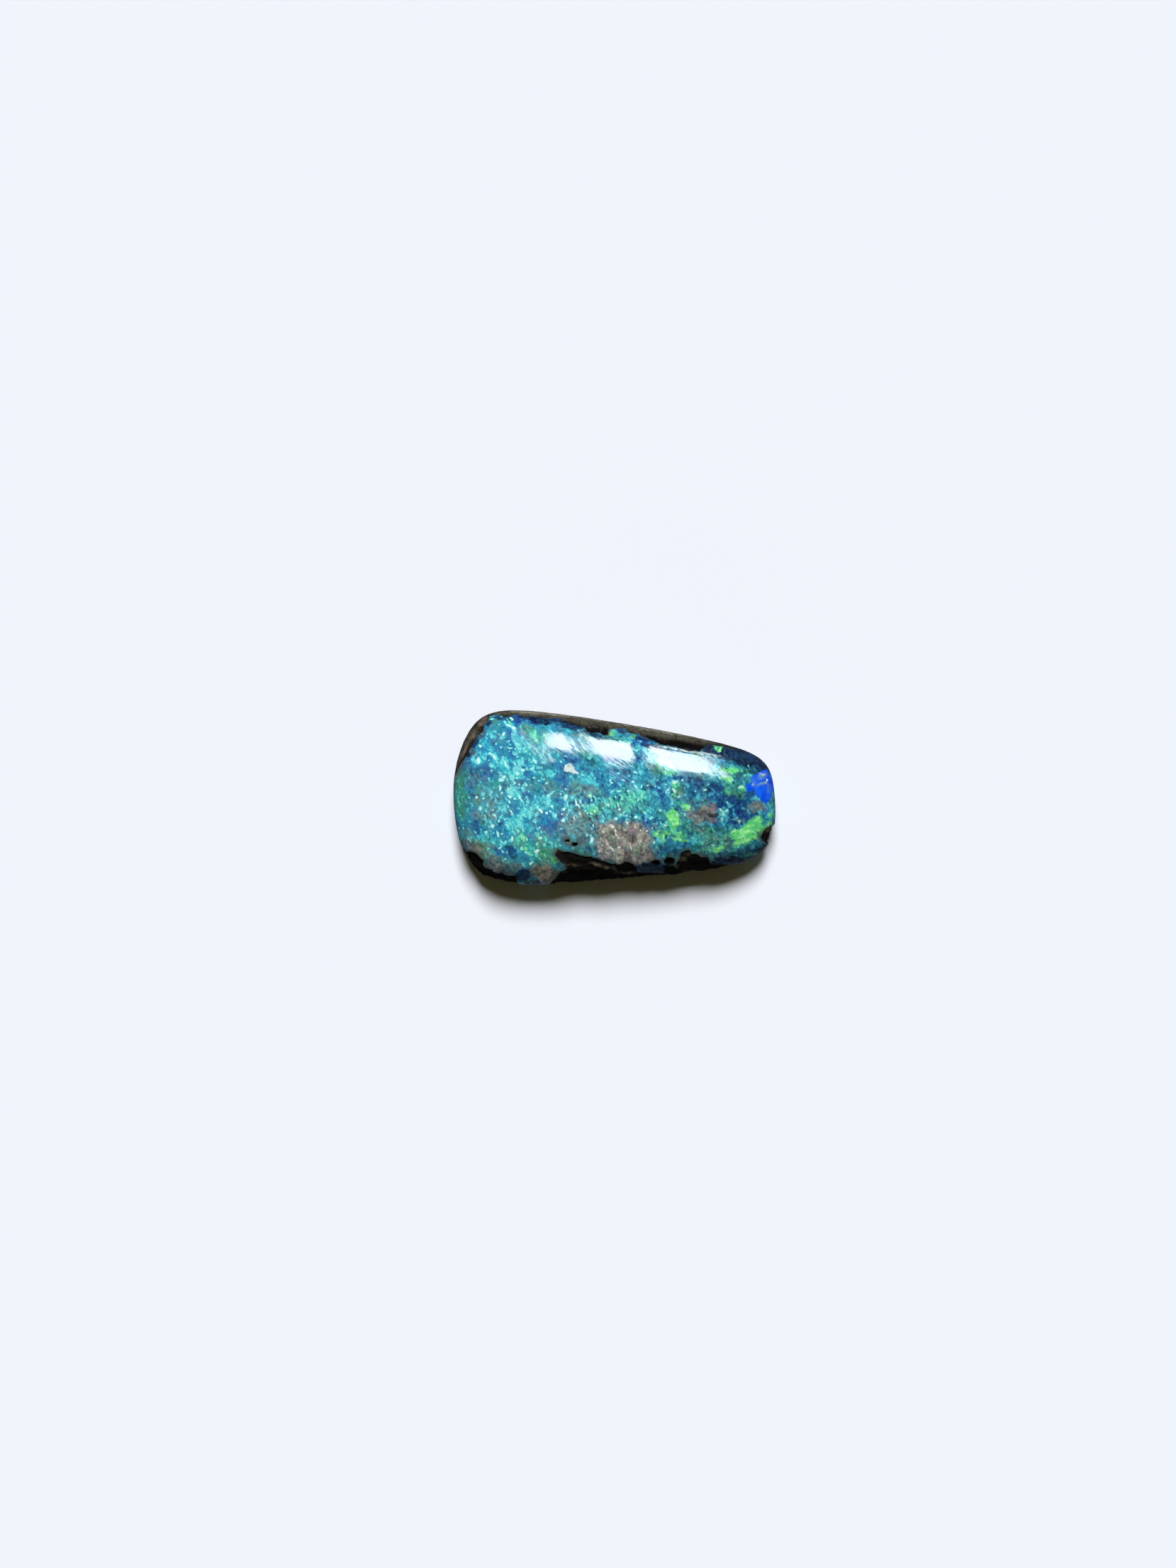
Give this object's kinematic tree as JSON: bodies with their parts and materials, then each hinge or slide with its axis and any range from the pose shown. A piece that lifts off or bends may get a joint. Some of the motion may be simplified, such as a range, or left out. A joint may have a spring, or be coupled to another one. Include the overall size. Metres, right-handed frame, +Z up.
{
  "type": "pipe opal",
  "caption": "Loose polished freeform pipe opal: domed blue-green opal face on brown-black ironstone, tapering to one end, resting on a flat ground base.",
  "frame": {"origin": "middle of the stone's bounding box in plan, on the flat ground base that it rests on", "axes": "+X along the stone's length, towards the narrow end; +Y across it, towards the flank that carries the brown polished ironstone strip; +Z up, out of the domed opal face"},
  "size_m": [0.018, 0.0098, 0.0035],
  "materials": {
    "opal": "high polish on the opal, satin on the ironstone"
  },
  "bodies": {
    "root": {"pipe_opal": "opal"}
  },
  "joints": []
}
